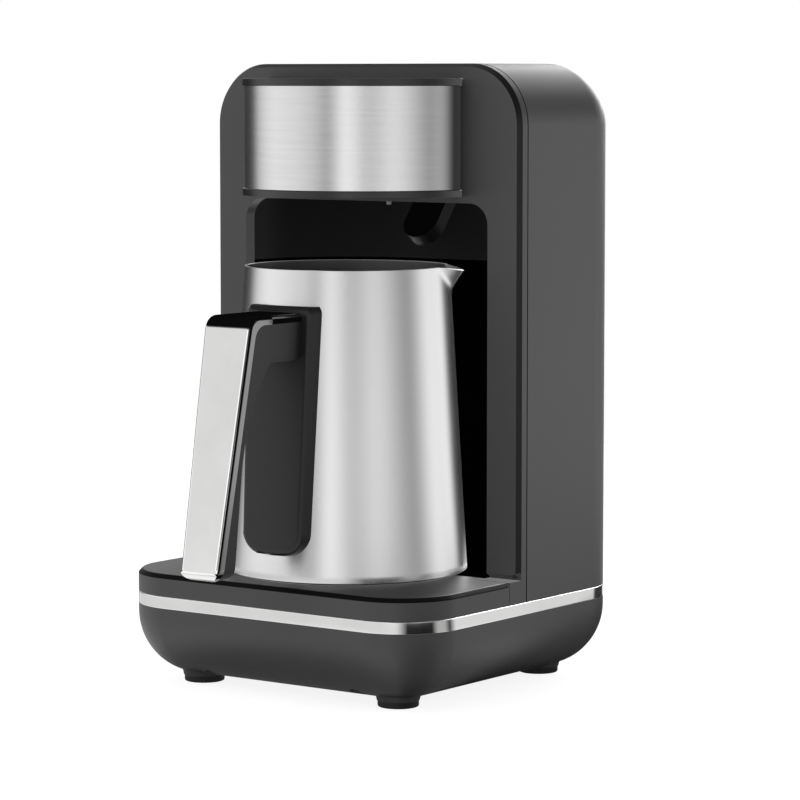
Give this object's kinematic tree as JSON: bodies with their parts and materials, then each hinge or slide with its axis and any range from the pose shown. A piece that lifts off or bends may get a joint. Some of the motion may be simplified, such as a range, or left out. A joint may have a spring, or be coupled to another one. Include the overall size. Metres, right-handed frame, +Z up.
{
  "type": "electric turkish coffee maker",
  "caption": "Compact electric Turkish coffee maker: an open bay under a half-round head, a hot plate, and a steel pot with a lever handle that pulls out forwards.",
  "frame": {"origin": "on the table, in the middle of the machine's and its pot's overall width and length", "axes": "+X to the right of someone who faces the front, which is the side of the spout; +Y to the back; +Z up. The pot's handle points along -Y"},
  "size_m": [0.15, 0.1843, 0.246],
  "materials": {
    "body_plastic": "dark grey moulding with a satin surface",
    "hood_plastic": "near-black satin moulding",
    "black_plastic": "black satin moulding",
    "handle_plastic": "black-grey satin moulding",
    "foot_rubber": "soft black rubber",
    "seal_rubber": "rust-red silicone rubber",
    "bright_trim": "bright plated trim",
    "wrap_steel": "bright rolled steel sheet",
    "pot_steel": "fine-brushed stainless steel",
    "plate_aluminium": "turned aluminium",
    "screw_steel": "zinc-plated steel",
    "nut_brass": "plain brass",
    "cream_plastic": "cream heat-proof plastic",
    "lens_plastic": "smoked lens",
    "lamp_plastic": "milky light guide",
    "board_laminate": "green laminate",
    "relay_plastic": "blue moulded case",
    "wire_plastic": "grey sleeve"
  },
  "bodies": {
    "housing": {"base_tub": "body_plastic", "rubber_feet": "foot_rubber", "base_screws": "screw_steel", "cord_gland": "black_plastic", "terminal_block": "cream_plastic", "trim_band": "bright_trim", "chassis_plate": "black_plastic", "chassis_screws": "screw_steel", "deck": "body_plastic", "hot_plate": "plate_aluminium", "plate_gasket": "seal_rubber", "heater_tube": "screw_steel", "heat_shield": "plate_aluminium", "shield_nut": "nut_brass", "plate_thermostat": "cream_plastic", "thermal_fuse": "screw_steel", "plate_screws": "screw_steel", "front_frame": "body_plastic", "rear_housing": "body_plastic", "bay_liner": "black_plastic", "bay_hood": "hood_plastic", "frame_screws": "screw_steel", "head_drum": "black_plastic", "head_wrap": "wrap_steel", "sensor_pod": "black_plastic", "sensor_lens": "lens_plastic", "pilot_lamp": "lamp_plastic", "button_ring": "bright_trim", "button_spring": "screw_steel", "button_switch": "black_plastic", "control_board": "board_laminate", "board_screws": "screw_steel", "buzzer": "black_plastic", "power_board": "board_laminate", "power_relay": "relay_plastic", "wire_loom": "wire_plastic"},
    "button": {"start_button": "hood_plastic"},
    "pot": {"pot_body": "pot_steel", "pot_base_disc": "plate_aluminium", "handle_stud": "screw_steel", "handle_bracket": "handle_plastic", "handle_grip": "handle_plastic", "handle_cover": "bright_trim", "handle_nut": "nut_brass"}
  },
  "joints": [
    {"name": "button_press", "type": "slide", "parent": "housing", "child": "button", "axis": [0, 0, -1], "range_m": [0, 0.0015], "stiffness_N_per_m": 600, "springref_m": -0.001, "deforming": ["button_spring"]},
    {"name": "pot_pull", "type": "slide", "parent": "housing", "child": "pot", "axis": [0, -1, 0], "range_m": [0, 0.12]}
  ]
}
